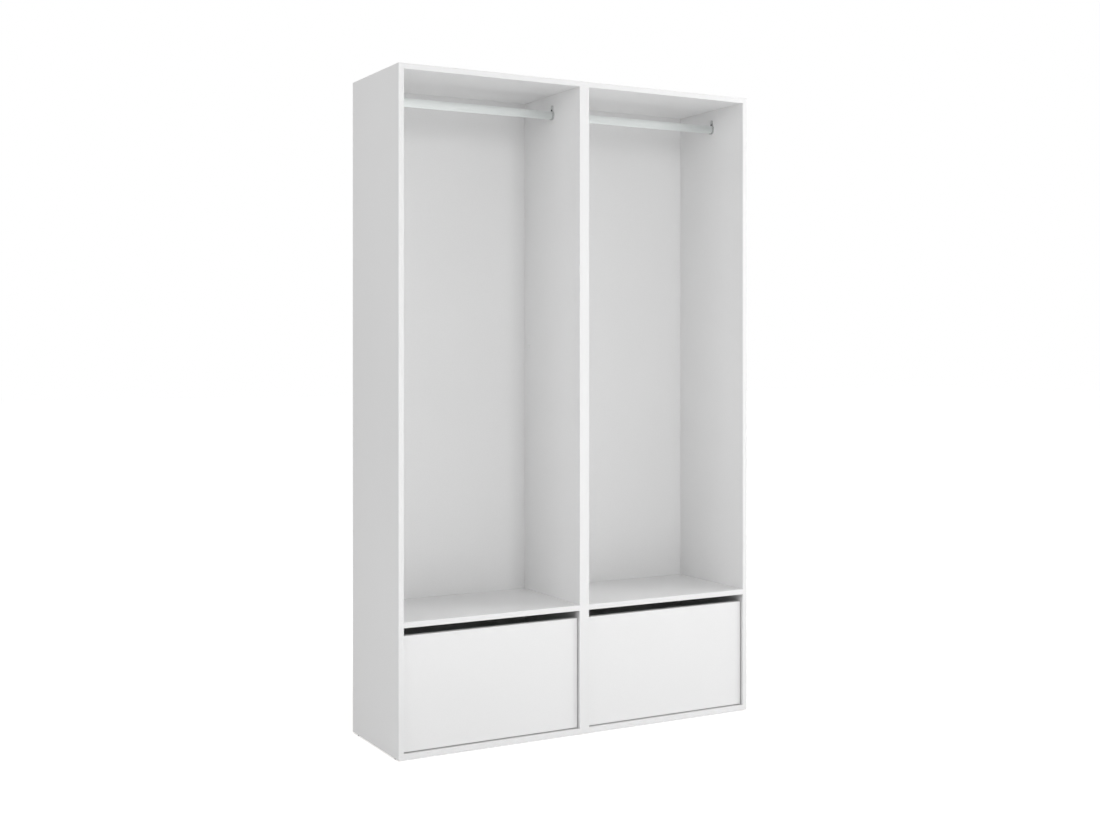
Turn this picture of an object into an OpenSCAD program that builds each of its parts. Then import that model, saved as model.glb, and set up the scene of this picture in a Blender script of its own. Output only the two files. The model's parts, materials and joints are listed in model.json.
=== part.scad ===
// Open wardrobe of two equal carcasses side by side, each with a hanging rail,
// a fixed shelf and one inset drawer on roller runners. Millimetres, +Z up, front towards -Y.
// The origin is on the floor, under the middle of the whole unit.

/* [Carcass] */
// Width of one of the two carcasses
carcass_w = 600; // [450:1:900]
// Height of the side panels
side_h = 1947; // [1700:1:2300]
// Depth of the side panels from front edge to rear edge
side_d = 350; // [345:1:600]
// Thickness of the coated boards
board_t = 16; // [15:0.5:19]
// Clear height of the drawer bay under the shelf
drawer_bay_h = 352; // [300:1:450]

/* [Back panel] */
// Thickness of the back panel
back_t = 3; // [2.5:0.5:5]
// Distance from a carcass's outline to the back panel's edges
back_inset = 2; // [1:0.5:4]

/* [Glides] */
// Diameter of a glide under a side panel
glide_d = 15; // [12:0.5:15]
// Height of a glide
glide_h = 3; // [2:0.5:6]
// Distance from the front edge to the front glide's centre
glide_front = 30; // [20:1:38]
// Distance from the rear edge to the rear glide's centre
glide_rear = 40; // [20:1:42]

/* [Hanging rail] */
// Outer diameter of the rail
rail_d = 25; // [18:1:30]
// Wall of the rail's tube
rail_wall = 1.2; // [0.8:0.1:2]
// Distance from the top panel's underside down to the rail's axis
rail_drop = 63; // [50:1:90]
// Distance from the front edge back to the rail's axis
rail_setback = 168; // [150:1:200]

/* [Rail support] */
// Thickness of the plate against the side panel
plate_t = 2; // [1.5:0.5:4]
// Wall of the cup that holds the rail
cup_wall = 1.1; // [1:0.1:4]
// How far the cup stands out from the plate
cup_depth = 4; // [3:0.5:12]
// How far the cup's arms rise above the rail's axis
arm_h = 6; // [3:0.5:9]
// Width of the upright tab with the screws
tab_w = 12; // [10:0.5:16]
// Distance between the two screws of the tab
tab_screw_pitch = 10; // [8:0.5:16]

/* [Cam fittings] */
// Diameter of the cam lock's pocket
cam_d = 15; // [12:0.5:16]
// Depth of the cam lock's pocket
cam_depth = 12.5; // [11:0.5:13]
// Distance from a board's end to the cam lock's axis
cam_offset = 34; // [24:1:40]
// Diameter of the bore for the bolt in a board's end
bolt_bore_d = 8; // [7:0.5:9]
// Diameter of the bolt's screwed end
bolt_thread_d = 5; // [4:0.5:6]
// Length of the bolt's screwed end
bolt_thread_len = 10.5; // [8:0.5:12]
// Distance from the front and rear edges to the nearest cam lock
cam_setback = 50; // [45:1:60]
// Distance from a cam lock to the dowel beside it
dowel_pitch = 32; // [24:1:48]
// Diameter of a dowel
dowel_d = 8; // [6:0.5:8]
// Length of a dowel
dowel_len = 30; // [25:1:35]
// Length of a dowel that sits in the panel's face
dowel_seat = 10; // [8:0.5:12]

/* [Drawer front] */
// Distance the drawer front stands back from the carcass's front edges
front_recess = 9; // [2:0.5:14]
// Gap on each side of the drawer front
front_side_gap = 3.5; // [1.5:0.5:4]
// Gap under the drawer front
front_bottom_gap = 3; // [1.5:0.5:5]
// Height of the finger gap over the drawer front
finger_gap = 23.5; // [15:0.5:60]

/* [Drawer box] */
// Height of the drawer's sides
box_h = 200; // [150:1:230]
// Thickness of the drawer's bottom panel
base_t = 3; // [2.5:0.5:5]
// Distance from the sides' lower edge up to the groove for the bottom panel
groove_up = 12; // [11:0.5:20]
// Depth of the groove
groove_depth = 6; // [4:0.5:8]
// Distance from the sides' lower edge up to the lower cam lock
box_cam_low = 45; // [40:1:55]
// Distance from the sides' upper edge down to the upper cam lock
box_cam_top = 35; // [20:1:45]

/* [Runners] */
// Length of a runner, and depth of the drawer box on it
runner_len = 300; // [250:1:300]
// Space between the drawer box and a side panel
runner_gap = 12.5; // [12.5:0.1:14]
// Length that stays held when the drawer is fully out
runner_hold = 75; // [70:1:120]
// Distance from the drawer front's rear face to the runner's front end
runner_back = 2; // [1:0.5:6]
// Height of the runner over the bottom panel
runner_lift = 9; // [4:0.5:15]
// Thickness of the runner's steel sheet
sheet_t = 1.2; // [1:0.1:1.3]
// Diameter of a roller
roller_d = 21; // [16:0.5:21]
// Width of a roller
roller_w = 6.5; // [5:0.1:6.5]
// Diameter of a roller's axle
axle_d = 4; // [3:0.5:5]

/* [Small fasteners] */
// Diameter of a wood screw's shank
screw_d = 3; // [2.5:0.1:3.5]
// Length of a wood screw under its head
screw_len = 14; // [10:0.5:14]
// Diameter of a wood screw's head
screw_head_d = 6; // [5:0.5:7]
// Height of a wood screw's head
screw_head_h = 1.8; // [1.2:0.1:1.8]
// Diameter of a nail
nail_d = 1.4; // [1.2:0.1:2]
// Length of a nail under its head
nail_len = 20; // [15:1:25]
// Diameter of a nail's head
nail_head_d = 4; // [3:0.5:5]
// Height of a nail's head
nail_head_h = 0.5; // [0.3:0.1:1]
// Greatest distance between nails along the side panels
nail_pitch = 280; // [150:10:400]
// Length of a box screw through the drawer's side into its back
box_screw_len = 45; // [40:1:50]
// Diameter of a box screw
box_screw_d = 5; // [4:0.5:6]
// Diameter of the sleeve that joins the carcasses
sleeve_d = 8; // [7:0.5:10]
// Diameter of the sleeve's and the joining screw's heads
sleeve_head_d = 12; // [11:0.5:16]
// Distance from the shelf's underside down to the lower joining screws
join_drop = 60; // [30:1:80]

/* [Hidden] */
$fn = 48;

// Clearances: all round a fitting in its bore, all round an axle, and from a roller to its track
fit = 0.1;
axle_fit = 0.05;
roll_fit = 0.3;
// How far a cutting shape reaches past the face that it cuts
over = 1;
// How much deeper a hole is than the fastener in it
hole_end = 0.5;

// Colours of the finishes
white_board = [0.95, 0.95, 0.94];
white_back = [0.93, 0.93, 0.92];
rail_silver = [0.80, 0.83, 0.82];
support_grey = [0.60, 0.61, 0.61];
runner_white = [0.90, 0.90, 0.89];
nylon = [0.93, 0.93, 0.90];
zinc = [0.72, 0.73, 0.74];
beech = [0.82, 0.68, 0.48];
glide_black = [0.10, 0.10, 0.10];

// Levels above the floor
bottom_z = glide_h;
bottom_top = bottom_z + board_t;
shelf_z = bottom_top + drawer_bay_h;
shelf_top = shelf_z + board_t;
top_z = glide_h + side_h - board_t;
joint_zs = [for (z = [bottom_z, shelf_z, top_z]) z + board_t / 2];

// Widths and depths
inner_w = carcass_w - 2 * board_t;
unit_d = side_d + back_t + nail_head_h;
cam_ys = [cam_setback, side_d - cam_setback];
dowel_ys = [cam_setback + dowel_pitch, side_d - cam_setback - dowel_pitch];
glide_ys = [glide_front, side_d - glide_rear];

// Rail and its support, measured from the rail's axis
rail_z = top_z - rail_drop;
rail_end_gap = 1;
seat_r = rail_d / 2 + fit;
cup_r = seat_r + cup_wall;
head_gap = 0.5;
tab_rim = 2.5;
tab_screw_low = rail_d / 2 + screw_head_d / 2 + head_gap;
tab_screws = [tab_screw_low, tab_screw_low + tab_screw_pitch];
tab_top = tab_screws[1] + screw_head_d / 2 + tab_rim;

// Cam lock and bolt, measured from the panel's face that the bolt is screwed into
cam_sink = 0.3;
cam_h = cam_depth - cam_sink;
bolt_fit = 0.7;
bolt_d = bolt_bore_d - 2 * bolt_fit;
bolt_neck_cut = 1.2;
bolt_neck_d = bolt_d - 2 * bolt_neck_cut;
bolt_neck_len = 4;
bolt_head_len = 3;
bolt_len = cam_offset + bolt_head_len / 2;
slot_fit = 0.4;
cam_slot = bolt_d + 2 * slot_fit;

// Drawer front and box
front_w = inner_w - 2 * front_side_gap;
front_z = bottom_top + front_bottom_gap;
front_h = shelf_z - finger_gap - front_z;
box_x = board_t + runner_gap;
box_w = carcass_w - 2 * box_x;
box_y = front_recess + board_t;
box_d = runner_len;
box_z = bottom_top + runner_lift + sheet_t;
groove_h = base_t + 2 * fit;
base_z = box_z + groove_up + fit;
base_lap = groove_depth - hole_end;
back_board_z = base_z + base_t;
box_cam_zs = [box_z + box_cam_low, box_z + box_h - box_cam_top];
box_dowel_zs = [box_cam_zs[0] + dowel_pitch, box_cam_zs[1] - dowel_pitch];
box_screw_low = 35;
box_screw_top = 40;
box_screw_zs = [back_board_z + box_screw_low, box_z + box_h - box_screw_top];
box_screw_y = box_y + box_d - board_t / 2;
box_head_d = 2 * box_screw_d - 0.5;
box_nail_xs = [for (k = [1:3]) box_x + box_w * k / 4];

// Runners. Widths are measured from the side panel's face, heights from the floor.
runner_y = box_y + runner_back;
runner_z = bottom_top + runner_lift;
pass_gap = 1;
track_w = runner_gap - sheet_t - pass_gap;
roller_r = roller_d / 2;
roller_z = runner_z + sheet_t + roll_fit + roller_r;
roller_side_gap = 0.3;
rivet_head_t = 0.8;
rivet_head_d = axle_d + 3;
roller_end_gap = 2;
front_roller_y = runner_y + roller_r + roller_end_gap;
rear_roller_y = runner_y + runner_len - sheet_t - roll_fit - roller_r;
travel = runner_len - runner_hold;
ride_z = roller_z + roller_r + roll_fit;
ride_w = 8.3;
track_h = ride_z + 2 * sheet_t + pass_gap - runner_z;
flange_gap = 3;
track_start = front_roller_y + roller_r + flange_gap;
track_end = runner_y + runner_len;
rear_stop_h = 14;
stop_h = 3.5;
stop_w = 7;
stop_reach = sqrt(pow(roller_r, 2) - pow(roller_r + roll_fit - stop_h, 2));
stop_y = rear_roller_y - travel - stop_reach - roll_fit - sheet_t;
leg_w = 12;
slide_setback = 1;
slide_y = box_y + slide_setback;
slide_past = 6;
slide_end = rear_roller_y + slide_past;
ride_end = rear_roller_y - roller_r - roller_end_gap;
track_screw_ys = [for (s = [35, 130, 240]) runner_y + s * runner_len / 300];
slide_screw_ys = [for (s = [20, 125, 235]) box_y + s * runner_len / 300];
slide_screw_lift = 7;
slide_screw_z = box_z + slide_screw_lift;

// Fasteners
screw_tip = 3;
nail_end = board_t / 2 + 12;
nail_rows = ceil((side_h - 2 * nail_end) / nail_pitch);
nail_zs = [for (k = [0:nail_rows]) glide_h + nail_end + (side_h - 2 * nail_end) * k / nail_rows];
nail_xs = [for (k = [1:2]) carcass_w * k / 3];
join_edge = 60;
join_rear = 30;
join_top = 40;
join_places = [
    [join_edge, shelf_z - join_drop],
    [side_d - join_edge, shelf_z - join_drop],
    [side_d - join_rear, (shelf_top + top_z) / 2],
    [side_d - join_rear, top_z - join_top]
];
sleeve_wall = 1;
sleeve_bore_d = sleeve_d - 2 * sleeve_wall;
sleeve_head_h = 2;
sleeve_short = 2;
sleeve_len = 2 * board_t - sleeve_short;

// Place what is drawn for one carcass, 0 for the left one and 1 for the right one
module bay(i) {
    translate([(i - 1) * carcass_w, -unit_d / 2, 0]) children();
}

// Mirror a left-hand piece of a carcass to its right-hand place
module right_hand() {
    translate([carcass_w, 0, 0]) mirror([1, 0, 0]) children();
}

module both_hands() {
    children();
    right_hand() children();
}

module both_bays() {
    for (i = [0, 1]) bay(i) children();
}

// A round hole into the left side panel's inner face
module face_hole(y, z, d, depth) {
    translate([board_t - depth, y, z]) rotate([0, 90, 0]) cylinder(d = d, h = depth + over);
}

// A nail with its head standing on z = 0 and its shank below
module nail() {
    tip = nail_d * 1.5;
    tip_d = 0.4;
    cylinder(d = nail_head_d, h = nail_head_h);
    translate([0, 0, -nail_len]) cylinder(d1 = tip_d, d2 = nail_d, h = tip);
    translate([0, 0, tip - nail_len]) cylinder(d = nail_d, h = nail_len - tip);
}

module nail_hole(depth) {
    translate([0, 0, -depth]) cylinder(d = nail_d + fit, h = depth + over);
}

// A wood screw with its head standing on z = 0 and its shank below
module wood_screw() {
    recess_w = 0.9;
    recess_depth = 1;
    recess_len = screw_head_d * 0.6;
    dome = 0.8;
    tip_d = 0.5;
    difference() {
        cylinder(d1 = screw_head_d, d2 = screw_head_d - 2 * dome, h = screw_head_h);
        for (a = [0, 90])
            rotate([0, 0, a]) translate([-recess_len / 2, -recess_w / 2, screw_head_h - recess_depth])
                cube([recess_len, recess_w, recess_depth + over]);
    }
    translate([0, 0, -screw_len]) cylinder(d1 = tip_d, d2 = screw_d, h = screw_tip);
    translate([0, 0, screw_tip - screw_len]) cylinder(d = screw_d, h = screw_len - screw_tip);
}

module screw_hole(depth) {
    translate([0, 0, -depth]) cylinder(d = screw_d + fit, h = depth + over);
}

// A cam lock with its open face on z = 0 and its slot towards -x
module cam_lock() {
    recess_w = 1.4;
    recess_len = 8;
    recess_depth = 2;
    slot_end = bolt_head_len / 2 + 1;
    difference() {
        cylinder(d = cam_d - 2 * fit, h = cam_h);
        translate([-cam_d, -cam_slot / 2, board_t / 2 - cam_slot / 2])
            cube([cam_d + slot_end, cam_slot, cam_slot]);
        for (a = [45, 135])
            rotate([0, 0, a]) translate([-recess_len / 2, -recess_w / 2, -over])
                cube([recess_len, recess_w, over + recess_depth]);
    }
}

// A cam bolt along +x from the panel's face at x = 0, its screwed end behind the face
module cam_bolt() {
    rotate([0, 90, 0]) {
        translate([0, 0, -bolt_thread_len]) cylinder(d = bolt_thread_d, h = bolt_thread_len);
        cylinder(d = bolt_d, h = bolt_len - bolt_neck_len - bolt_head_len);
        translate([0, 0, bolt_len - bolt_neck_len - bolt_head_len])
            cylinder(d = bolt_neck_d, h = bolt_neck_len);
        translate([0, 0, bolt_len - bolt_head_len]) cylinder(d = bolt_d, h = bolt_head_len);
    }
}

// The pocket and end bore for one cam lock, drawn for a board whose end is at x = 0
module cam_cuts() {
    translate([cam_offset, 0, -over]) cylinder(d = cam_d, h = cam_depth + over);
    translate([-over, 0, board_t / 2]) rotate([0, 90, 0])
        cylinder(d = bolt_bore_d, h = cam_offset + over);
}

// A dowel along +x, its seat behind the panel's face at x = 0
module dowel() {
    chamfer = 1;
    translate([-dowel_seat, 0, 0]) rotate([0, 90, 0]) {
        cylinder(d1 = dowel_d - 2 * chamfer, d2 = dowel_d, h = chamfer);
        translate([0, 0, chamfer]) cylinder(d = dowel_d, h = dowel_len - 2 * chamfer);
        translate([0, 0, dowel_len - chamfer])
            cylinder(d1 = dowel_d, d2 = dowel_d - 2 * chamfer, h = chamfer);
    }
}

module dowel_end_bore() {
    translate([-over, 0, board_t / 2]) rotate([0, 90, 0])
        cylinder(d = dowel_d + fit, h = dowel_len - dowel_seat + hole_end + over);
}

// The left side panel of a carcass; a joined one has the holes for the joining sleeves
module side_panel(joined) {
    color(white_board) difference() {
        translate([0, 0, glide_h]) cube([board_t, side_d, side_h]);
        for (z = joint_zs) {
            for (y = cam_ys) face_hole(y, z, bolt_thread_d + fit, bolt_thread_len + hole_end);
            for (y = dowel_ys) face_hole(y, z, dowel_d + fit, dowel_seat + hole_end);
        }
        for (h = tab_screws)
            face_hole(rail_setback, rail_z + h, screw_d + fit, screw_len - plate_t + hole_end);
        for (y = track_screw_ys) face_hole(y, roller_z, screw_d + fit, screw_len - sheet_t + hole_end);
        for (z = nail_zs)
            translate([board_t / 2, side_d + back_t, z]) rotate([-90, 0, 0]) nail_hole(nail_len + hole_end);
        for (y = glide_ys)
            translate([board_t / 2, y, glide_h]) mirror([0, 0, 1]) nail_hole(nail_len + hole_end);
        if (joined)
            for (p = join_places) face_hole(p[0], p[1], sleeve_d + fit, board_t + over);
    }
}

// A level board between the side panels, with its cam locks on the upper or the lower face
module level_board(z, cams_up) {
    color(white_board) difference() {
        translate([board_t, 0, z]) cube([inner_w, side_d, board_t]);
        both_hands() {
            for (y = cam_ys)
                translate([board_t, y, z + (cams_up ? board_t : 0)])
                    mirror([0, 0, cams_up ? 1 : 0]) cam_cuts();
            for (y = dowel_ys) translate([board_t, y, z]) dowel_end_bore();
        }
        for (x = nail_xs)
            translate([x, side_d + back_t, z + board_t / 2]) rotate([-90, 0, 0])
                nail_hole(nail_len + hole_end);
    }
}

module back_panel() {
    color(white_back) difference() {
        translate([back_inset, side_d, glide_h + back_inset])
            cube([carcass_w - 2 * back_inset, back_t, side_h - 2 * back_inset]);
        back_nail_places() nail_hole(back_t + over);
    }
}

// The nails of one back panel, heads on its rear face
module back_nail_places() {
    for (z = nail_zs)
        both_hands() translate([board_t / 2, side_d + back_t, z]) rotate([-90, 0, 0]) children();
    for (x = nail_xs, z = joint_zs)
        translate([x, side_d + back_t, z]) rotate([-90, 0, 0]) children();
}

module hanging_rail() {
    length = inner_w - 2 * (plate_t + rail_end_gap);
    color(rail_silver) translate([board_t + plate_t + rail_end_gap, rail_setback, rail_z])
        rotate([0, 90, 0]) difference() {
            cylinder(d = rail_d, h = length);
            translate([0, 0, -over]) cylinder(d = rail_d - 2 * rail_wall, h = length + 2 * over);
        }
}

// Outline of the support's plate or cup, x to the rear and y up, the rail's axis at the middle
module cup_outline(r) {
    circle(r = r);
    translate([-r, 0]) square([2 * r, arm_h]);
}

module tab_outline() {
    translate([-tab_w / 2, 0]) square([tab_w, tab_top - tab_w / 2]);
    translate([0, tab_top - tab_w / 2]) circle(d = tab_w);
}

module rail_support() {
    translate([board_t, rail_setback, rail_z]) rotate([90, 0, 90]) {
        linear_extrude(plate_t) difference() {
            union() {
                cup_outline(cup_r);
                tab_outline();
            }
            for (h = tab_screws) translate([0, h]) circle(d = screw_d + fit);
        }
        translate([0, 0, plate_t]) linear_extrude(cup_depth) difference() {
            cup_outline(cup_r);
            circle(r = seat_r);
            translate([-seat_r, 0]) square([2 * seat_r, arm_h + over]);
            translate([-cup_r - over, arm_h]) square([2 * (cup_r + over), cup_r]);
        }
    }
}

// A riveted axle along +x from a sheet's face at x = 0, with its head past the roller
module axle() {
    reach = roller_w + 2 * roller_side_gap;
    rotate([0, 90, 0]) {
        cylinder(d = axle_d, h = reach);
        translate([0, 0, reach]) cylinder(d = rivet_head_d, h = rivet_head_t);
    }
}

// A roller along +x from x = 0, with rounded rims drawn as chamfers
module roller() {
    chamfer = 0.8;
    rotate([0, 90, 0]) rotate_extrude() polygon([
        [axle_d / 2 + axle_fit, 0], [roller_r - chamfer, 0], [roller_r, chamfer],
        [roller_r, roller_w - chamfer], [roller_r - chamfer, roller_w], [axle_d / 2 + axle_fit, roller_w]
    ]);
}

// The left runner's fixed channel on the side panel
module cabinet_runner() {
    color(runner_white) translate([board_t, 0, 0]) {
        difference() {
            translate([0, runner_y, runner_z]) cube([sheet_t, runner_len, track_h]);
            for (y = track_screw_ys)
                translate([sheet_t, y, roller_z]) rotate([0, 90, 0]) screw_hole(sheet_t + over);
        }
        for (z = [runner_z, runner_z + track_h - sheet_t])
            translate([0, track_start, z]) cube([track_w, track_end - track_start, sheet_t]);
        translate([0, track_end - sheet_t, runner_z]) cube([track_w, sheet_t, rear_stop_h]);
        translate([0, stop_y, runner_z]) cube([stop_w, sheet_t, sheet_t + stop_h]);
        translate([sheet_t, front_roller_y, roller_z]) axle();
    }
}

// The rollers of the fixed channels, one on each side
module front_rollers() {
    color(nylon) both_hands()
        translate([board_t + sheet_t + roller_side_gap, front_roller_y, roller_z]) roller();
}

// The left runner's moving angle under the drawer's side
module drawer_runner() {
    color(runner_white) {
        difference() {
            translate([box_x - sheet_t, slide_y, box_z - sheet_t])
                cube([sheet_t, slide_end - slide_y, ride_z + 2 * sheet_t - box_z]);
            for (y = slide_screw_ys)
                translate([box_x - sheet_t, y, slide_screw_z]) rotate([0, -90, 0])
                    screw_hole(sheet_t + over);
        }
        translate([box_x - sheet_t, slide_y, box_z - sheet_t])
            cube([leg_w + sheet_t, slide_end - slide_y, sheet_t]);
        translate([box_x - sheet_t - ride_w, slide_y, ride_z])
            cube([ride_w + sheet_t, ride_end - slide_y, sheet_t]);
        translate([box_x - sheet_t, rear_roller_y, roller_z]) mirror([1, 0, 0]) axle();
    }
}

// The rollers of the moving angles, one on each side
module rear_rollers() {
    color(nylon) both_hands()
        translate([box_x - sheet_t - roller_side_gap, rear_roller_y, roller_z]) mirror([1, 0, 0]) roller();
}

// The places of the drawer's bolts and dowels, +x along the bolt and the front's rear face at x = 0
module box_joints(zs) {
    both_hands() for (z = zs)
        translate([box_x + board_t / 2, box_y, z]) rotate([0, 0, 90]) children();
}

module drawer_front() {
    color(white_board) difference() {
        translate([board_t + front_side_gap, front_recess, front_z]) cube([front_w, board_t, front_h]);
        box_joints(box_cam_zs) rotate([0, -90, 0])
            translate([0, 0, -over])
                cylinder(d = bolt_thread_d + fit, h = bolt_thread_len + hole_end + over);
        box_joints(box_dowel_zs) rotate([0, -90, 0])
            translate([0, 0, -over]) cylinder(d = dowel_d + fit, h = dowel_seat + hole_end + over);
        translate([box_x + board_t - groove_depth, box_y - groove_depth, base_z - fit])
            cube([box_w - 2 * (board_t - groove_depth), groove_depth + over, groove_h]);
    }
}

module drawer_side() {
    color(white_board) difference() {
        translate([box_x, box_y, box_z]) cube([board_t, box_d, box_h]);
        translate([box_x + board_t - groove_depth, box_y - over, base_z - fit])
            cube([groove_depth + over, box_d + 2 * over, groove_h]);
        for (z = box_cam_zs) translate([box_x, box_y, z]) rotate([90, 0, 90]) cam_cuts();
        for (z = box_dowel_zs) translate([box_x, box_y, z]) rotate([90, 0, 90]) dowel_end_bore();
        for (y = slide_screw_ys)
            translate([box_x, y, slide_screw_z]) rotate([0, -90, 0])
                screw_hole(screw_len - sheet_t + hole_end);
        for (z = box_screw_zs) translate([box_x, box_screw_y, z]) box_screw_hole();
    }
}

module drawer_back() {
    color(white_board) difference() {
        translate([box_x + board_t, box_y + box_d - board_t, back_board_z])
            cube([box_w - 2 * board_t, board_t, box_z + box_h - back_board_z]);
        both_hands() for (z = box_screw_zs) translate([box_x, box_screw_y, z]) box_screw_hole();
        for (x = box_nail_xs)
            translate([x, box_screw_y, base_z]) mirror([0, 0, 1]) nail_hole(nail_len + hole_end);
    }
}

module drawer_base() {
    color(white_back) difference() {
        translate([box_x + board_t - base_lap, box_y - base_lap, base_z])
            cube([box_w - 2 * (board_t - base_lap), box_d + base_lap, base_t]);
        for (x = box_nail_xs)
            translate([x, box_screw_y, base_z]) mirror([0, 0, 1]) nail_hole(base_t + over);
    }
}

// A box screw along +x from the drawer side's outer face at x = 0, its head flush with the face
module box_screw() {
    key = 4;
    key_depth = 2;
    tip = 4;
    tip_d = 1;
    rotate([0, 90, 0]) difference() {
        union() {
            cylinder(d1 = box_head_d, d2 = box_screw_d, h = box_screw_d / 2);
            cylinder(d = box_screw_d, h = box_screw_len - tip);
            translate([0, 0, box_screw_len - tip]) cylinder(d1 = box_screw_d, d2 = tip_d, h = tip);
        }
        translate([0, 0, -over]) cylinder(d = key, h = over + key_depth, $fn = 6);
    }
}

module box_screw_hole() {
    rotate([0, 90, 0]) {
        cylinder(d1 = box_head_d + fit, d2 = box_screw_d + fit, h = box_screw_d / 2);
        translate([0, 0, -over]) cylinder(d = box_screw_d + fit, h = box_screw_len + hole_end + over);
    }
}

module drawer_runner_screws() {
    color(zinc) both_hands() for (y = slide_screw_ys)
        translate([box_x - sheet_t, y, slide_screw_z]) rotate([0, -90, 0]) wood_screw();
}

module drawer_cam_locks() {
    color(zinc) both_hands() for (z = box_cam_zs)
        translate([box_x, box_y + cam_offset, z]) rotate([90, 0, 90]) cam_lock();
}

module drawer_cam_bolts() {
    color(zinc) box_joints(box_cam_zs) cam_bolt();
}

module drawer_dowels() {
    color(beech) box_joints(box_dowel_zs) dowel();
}

module drawer_box_screws() {
    color(zinc) both_hands() for (z = box_screw_zs)
        translate([box_x, box_screw_y, z]) box_screw();
}

module drawer_nails() {
    color(zinc) for (x = box_nail_xs)
        translate([x, box_screw_y, base_z]) mirror([0, 0, 1]) nail();
}

module rail_supports() {
    color(support_grey) both_bays() both_hands() rail_support();
}

module rail_screws() {
    color(zinc) both_bays() both_hands() for (h = tab_screws)
        translate([board_t + plate_t, rail_setback, rail_z + h]) rotate([0, 90, 0]) wood_screw();
}

module cam_locks() {
    color(zinc) both_bays() both_hands() for (y = cam_ys) {
        for (z = [bottom_z, shelf_z]) translate([board_t + cam_offset, y, z]) cam_lock();
        translate([board_t + cam_offset, y, top_z + board_t]) mirror([0, 0, 1]) cam_lock();
    }
}

module cam_bolts() {
    color(zinc) both_bays() both_hands() for (y = cam_ys, z = joint_zs)
        translate([board_t, y, z]) cam_bolt();
}

module dowels() {
    color(beech) both_bays() both_hands() for (y = dowel_ys, z = joint_zs)
        translate([board_t, y, z]) dowel();
}

module back_nails() {
    color(zinc) both_bays() back_nail_places() nail();
}

module runner_screws() {
    color(zinc) both_bays() both_hands() for (y = track_screw_ys)
        translate([board_t + sheet_t, y, roller_z]) rotate([0, 90, 0]) wood_screw();
}

// The places of the joining sleeves, +x along the sleeve and the left carcass's inner face at x = 0
module join_axes() {
    for (p = join_places)
        translate([-board_t, p[0] - unit_d / 2, p[1]]) children();
}

module joining_sleeves() {
    color(white_board) join_axes() rotate([0, 90, 0]) difference() {
        union() {
            translate([0, 0, -sleeve_head_h]) cylinder(d = sleeve_head_d, h = sleeve_head_h);
            cylinder(d = sleeve_d, h = sleeve_len);
        }
        cylinder(d = sleeve_bore_d, h = sleeve_len + over);
    }
}

module joining_screws() {
    shaft = sleeve_len - 3;
    key = 5;
    key_depth = 1.5;
    color(white_board) join_axes() translate([2 * board_t, 0, 0]) rotate([0, 90, 0]) difference() {
        union() {
            cylinder(d = sleeve_head_d, h = sleeve_head_h);
            translate([0, 0, -shaft]) cylinder(d = sleeve_bore_d - 2 * axle_fit, h = shaft);
        }
        translate([0, 0, sleeve_head_h - key_depth]) cylinder(d = key, h = over + key_depth, $fn = 6);
    }
}

module glides() {
    chamfer = 0.8;
    color(glide_black) both_bays() both_hands() for (y = glide_ys)
        translate([board_t / 2, y, 0]) {
            cylinder(d1 = glide_d - 2 * chamfer, d2 = glide_d, h = chamfer);
            translate([0, 0, chamfer]) cylinder(d = glide_d, h = glide_h - chamfer);
            translate([0, 0, glide_h]) cylinder(d = nail_d, h = nail_len);
        }
}

bay(0) side_panel(false);  // left_bay_outer_side
bay(0) right_hand() side_panel(true);  // left_bay_inner_side
bay(0) level_board(top_z, true);  // left_bay_top
bay(0) level_board(shelf_z, false);  // left_bay_shelf
bay(0) level_board(bottom_z, false);  // left_bay_bottom
bay(0) back_panel();  // left_bay_back
bay(0) hanging_rail();  // left_bay_rail
bay(0) cabinet_runner();  // left_bay_runner_left
bay(0) right_hand() cabinet_runner();  // left_bay_runner_right
bay(0) front_rollers();  // left_bay_rollers
bay(1) side_panel(true);  // right_bay_inner_side
bay(1) right_hand() side_panel(false);  // right_bay_outer_side
bay(1) level_board(top_z, true);  // right_bay_top
bay(1) level_board(shelf_z, false);  // right_bay_shelf
bay(1) level_board(bottom_z, false);  // right_bay_bottom
bay(1) back_panel();  // right_bay_back
bay(1) hanging_rail();  // right_bay_rail
bay(1) cabinet_runner();  // right_bay_runner_left
bay(1) right_hand() cabinet_runner();  // right_bay_runner_right
bay(1) front_rollers();  // right_bay_rollers
bay(0) drawer_front();  // left_drawer_front
bay(0) drawer_side();  // left_drawer_side_left
bay(0) right_hand() drawer_side();  // left_drawer_side_right
bay(0) drawer_back();  // left_drawer_back
bay(0) drawer_base();  // left_drawer_base
bay(0) drawer_runner();  // left_drawer_runner_left
bay(0) right_hand() drawer_runner();  // left_drawer_runner_right
bay(0) rear_rollers();  // left_drawer_rollers
bay(0) drawer_runner_screws();  // left_drawer_runner_screws
bay(0) drawer_cam_locks();  // left_drawer_cam_locks
bay(0) drawer_cam_bolts();  // left_drawer_cam_bolts
bay(0) drawer_dowels();  // left_drawer_dowels
bay(0) drawer_box_screws();  // left_drawer_box_screws
bay(0) drawer_nails();  // left_drawer_nails
bay(1) drawer_front();  // right_drawer_front
bay(1) drawer_side();  // right_drawer_side_left
bay(1) right_hand() drawer_side();  // right_drawer_side_right
bay(1) drawer_back();  // right_drawer_back
bay(1) drawer_base();  // right_drawer_base
bay(1) drawer_runner();  // right_drawer_runner_left
bay(1) right_hand() drawer_runner();  // right_drawer_runner_right
bay(1) rear_rollers();  // right_drawer_rollers
bay(1) drawer_runner_screws();  // right_drawer_runner_screws
bay(1) drawer_cam_locks();  // right_drawer_cam_locks
bay(1) drawer_cam_bolts();  // right_drawer_cam_bolts
bay(1) drawer_dowels();  // right_drawer_dowels
bay(1) drawer_box_screws();  // right_drawer_box_screws
bay(1) drawer_nails();  // right_drawer_nails
rail_supports();
rail_screws();
cam_locks();
cam_bolts();
dowels();
back_nails();
runner_screws();
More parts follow.
